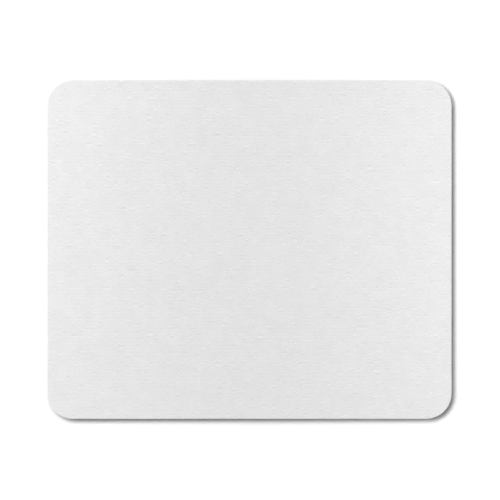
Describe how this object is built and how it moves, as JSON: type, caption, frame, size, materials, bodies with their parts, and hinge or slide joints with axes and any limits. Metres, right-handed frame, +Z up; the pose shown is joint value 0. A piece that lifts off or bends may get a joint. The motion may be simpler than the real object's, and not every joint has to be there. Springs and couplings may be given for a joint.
{
  "type": "mouse pad",
  "caption": "Flat rectangular mouse pad with rounded corners: a smooth white knit cloth face bonded to a thin foam rubber base with a ribbed non-slip underside.",
  "frame": {"origin": "middle of the flat underside, where the pad rests on the desk", "axes": "+Z up, out of the cloth face; +X along the width, the pad's longest side; +Y along the depth, away from the user"},
  "size_m": [0.235, 0.1968, 0.003],
  "materials": {
    "white_polyester_knit": "matt white fine jersey knit, undyed and unprinted",
    "hot_melt_film": "milky film, melted into the cloth and the rubber",
    "foam_rubber": "matt black foam rubber with a moulded skin underneath and a fine-celled cut side"
  },
  "bodies": {
    "root": {"cloth_face": "white_polyester_knit", "adhesive_film": "hot_melt_film", "rubber_base": "foam_rubber"}
  },
  "joints": []
}
